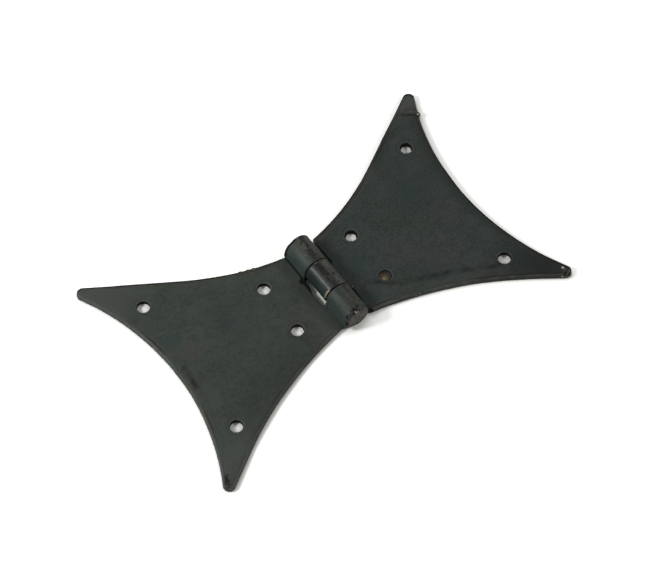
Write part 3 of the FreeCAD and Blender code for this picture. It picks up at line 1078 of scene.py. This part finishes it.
def floor_material():
    """Pale, slightly warm floor that takes the shadow, with a glow lifting it to white where it lies open;
    held back near the part, the glow paints shade and a shadow beside it.
    """
    duller = (0.77, 0.77, 0.735)
    clearer = (0.81, 0.81, 0.775)
    open_side = ((-0.212, 0.674, 0.707), 0.006, 0.4, 0.78)
    open_above = ((0.0, 0.0, 1.0), 0.004, 0.54, 0.64)
    open_lift = 0.42
    far_lift = 0.85
    lamps_reach = 0.2
    lamps_end = 0.8
    board = Board("white_floor")
    nodes = board.nodes
    nodes.remove(board.shader)
    matte = nodes.new("ShaderNodeBsdfDiffuse")
    cloud = nodes.new("ShaderNodeTexNoise")
    socket_value(cloud, "Scale", 6.0)
    board.join(board.mix(cloud.outputs["Fac"], duller, clearer), matte, "Color")
    strength = white_rays(nodes, board.links)
    # Painted shade and shadow: the glow is held back where the part hides the sky, most on the side away
    # from the lean
    for side, distance, low, high in (open_side, open_above):
        strength = board.times(strength, openness(board, side, distance, low, high))
    away = nodes.new("ShaderNodeVectorMath")
    away.operation = "LENGTH"
    board.links.new(board.place, away.inputs[0])
    farther = nodes.new("ShaderNodeMapRange")
    socket_value(farther, "From Min", lamps_reach)
    socket_value(farther, "From Max", lamps_end)
    socket_value(farther, "To Min", open_lift)
    socket_value(farther, "To Max", far_lift)
    board.join(away.outputs["Value"], farther, "Value")
    lift = nodes.new("ShaderNodeEmission")
    board.join(board.times(strength, farther.outputs["Result"]), lift, "Strength")
    both = nodes.new("ShaderNodeAddShader")
    board.links.new(matte.outputs["BSDF"], both.inputs[0])
    board.links.new(lift.outputs["Emission"], both.inputs[1])
    board.join(both.outputs["Shader"], nodes["Material Output"], "Surface")
    return board.material


def make_floor():
    """A wide floor just under the leaves."""
    half = 3.0
    drop = 0.00002
    mesh = bpy.data.meshes.new("floor")
    corners = [(-half, -half, -drop), (half, -half, -drop), (half, half, -drop), (-half, half, -drop)]
    mesh.from_pydata(corners, [], [(0, 1, 2, 3)])
    mesh.materials.append(floor_material())
    floor = bpy.data.objects.new("floor", mesh)
    bpy.context.scene.collection.objects.link(floor)


def make_world():
    """Soft studio light from all round, dimmer overhead, and white behind the object."""
    horizon_light = 0.5
    overhead_light = 0.16
    world = bpy.data.worlds.new("studio")
    bpy.context.scene.world = world
    world.use_nodes = True
    nodes = world.node_tree.nodes
    links = world.node_tree.links
    light = nodes["Background"]
    socket_value(light, "Color", (1.0, 1.0, 1.0, 1.0))
    direction = nodes.new("ShaderNodeTexCoord")
    parts = nodes.new("ShaderNodeSeparateXYZ")
    links.new(direction.outputs["Generated"], parts.inputs["Vector"])
    fade = nodes.new("ShaderNodeMapRange")
    socket_value(fade, "To Min", horizon_light)
    socket_value(fade, "To Max", overhead_light)
    links.new(parts.outputs["Z"], fade.inputs["Value"])
    links.new(fade.outputs["Result"], light.inputs["Strength"])
    white = nodes.new("ShaderNodeBackground")
    socket_value(white, "Color", (1.0, 1.0, 1.0, 1.0))
    choose = nodes.new("ShaderNodeMixShader")
    links.new(white_rays(nodes, links), choose.inputs["Fac"])
    links.new(light.outputs["Background"], choose.inputs[1])
    links.new(white.outputs["Background"], choose.inputs[2])
    links.new(choose.outputs["Shader"], nodes["World Output"].inputs["Surface"])


def area_light(name, azimuth, elevation, distance, width, power):
    """A square soft lamp turned to the object, placed by its direction in plan and its height angle."""
    plan = math.radians(azimuth)
    rise = math.radians(elevation)
    towards = Vector((math.cos(plan) * math.cos(rise), math.sin(plan) * math.cos(rise), math.sin(rise)))
    data = bpy.data.lights.new(name, "AREA")
    data.shape = "SQUARE"
    data.size = width
    data.energy = power
    lamp = bpy.data.objects.new(name, data)
    lamp.location = towards * distance
    lamp.rotation_euler = (-towards).to_track_quat("-Z", "Y").to_euler()
    bpy.context.scene.collection.objects.link(lamp)


def make_camera():
    """The photo's viewpoint."""
    azimuth = math.radians(camera_azimuth)
    elevation = math.radians(camera_elevation)
    back = Vector((math.sin(azimuth) * math.cos(elevation), -math.cos(azimuth) * math.cos(elevation),
                   math.sin(elevation)))
    data = bpy.data.cameras.new("photo_view")
    data.lens = camera_lens
    data.sensor_width = sensor_width
    data.clip_start = 0.01
    data.clip_end = 20.0
    camera = bpy.data.objects.new("photo_view", data)
    camera.location = camera_target + back * camera_distance
    camera.rotation_mode = "QUATERNION"
    camera.rotation_quaternion = (-back).to_track_quat("-Z", "Y")
    bpy.context.scene.collection.objects.link(camera)
    bpy.context.scene.camera = camera


make_floor()
make_world()
area_light("left_window", azimuth=154.0, elevation=39.0, distance=0.65, width=0.14, power=3.3)
area_light("right_window", azimuth=-34.0, elevation=39.0, distance=0.80, width=0.12, power=2.2)
make_camera()
bpy.context.scene.view_settings.view_transform = "Standard"
